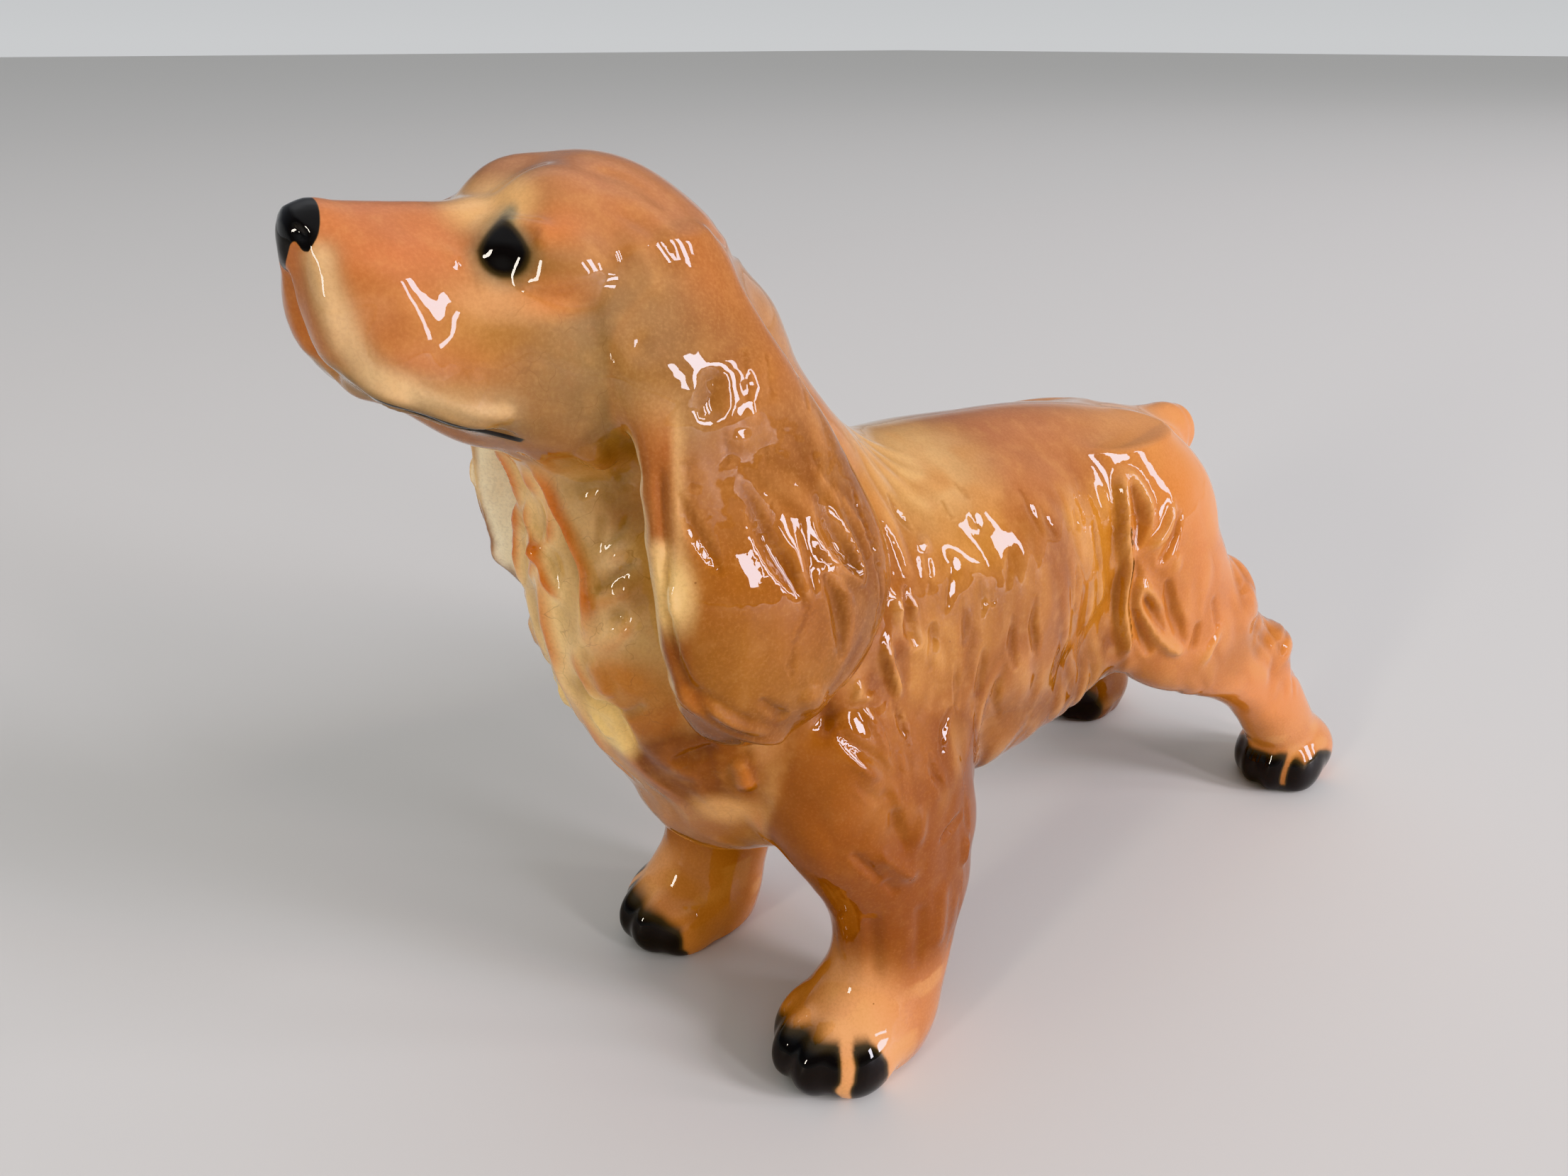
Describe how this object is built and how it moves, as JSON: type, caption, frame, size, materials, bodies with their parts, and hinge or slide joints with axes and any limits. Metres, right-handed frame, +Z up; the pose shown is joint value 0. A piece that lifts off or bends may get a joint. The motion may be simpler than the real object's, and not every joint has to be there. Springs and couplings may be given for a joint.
{
  "type": "pottery dog figurine",
  "caption": "Glazed slip-cast pottery spaniel standing with its head raised, hollow body and head with luted ears, legs and a docked tail; an ornament for a shelf.",
  "frame": {"origin": "middle of the figure's footprint box, on the surface it stands on", "axes": "+Z up, the dog looks along -Y, its left side is +X"},
  "size_m": [0.0576, 0.1782, 0.1243],
  "materials": {
    "glazed_body": "clear gloss glaze over airbrushed golden orange",
    "glazed_head": "clear gloss glaze over airbrushed golden orange, black nose, eyes and mouth line",
    "glazed_ear": "clear gloss glaze over darker golden brown",
    "glazed_leg": "clear gloss glaze over airbrushed orange, black toes"
  },
  "bodies": {
    "root": {"body_shell": "glazed_body", "head_shell": "glazed_head", "left_ear": "glazed_ear", "right_ear": "glazed_ear", "left_foreleg": "glazed_leg", "right_foreleg": "glazed_leg", "left_hind_leg": "glazed_leg", "right_hind_leg": "glazed_leg", "tail_stub": "glazed_body"}
  },
  "joints": []
}
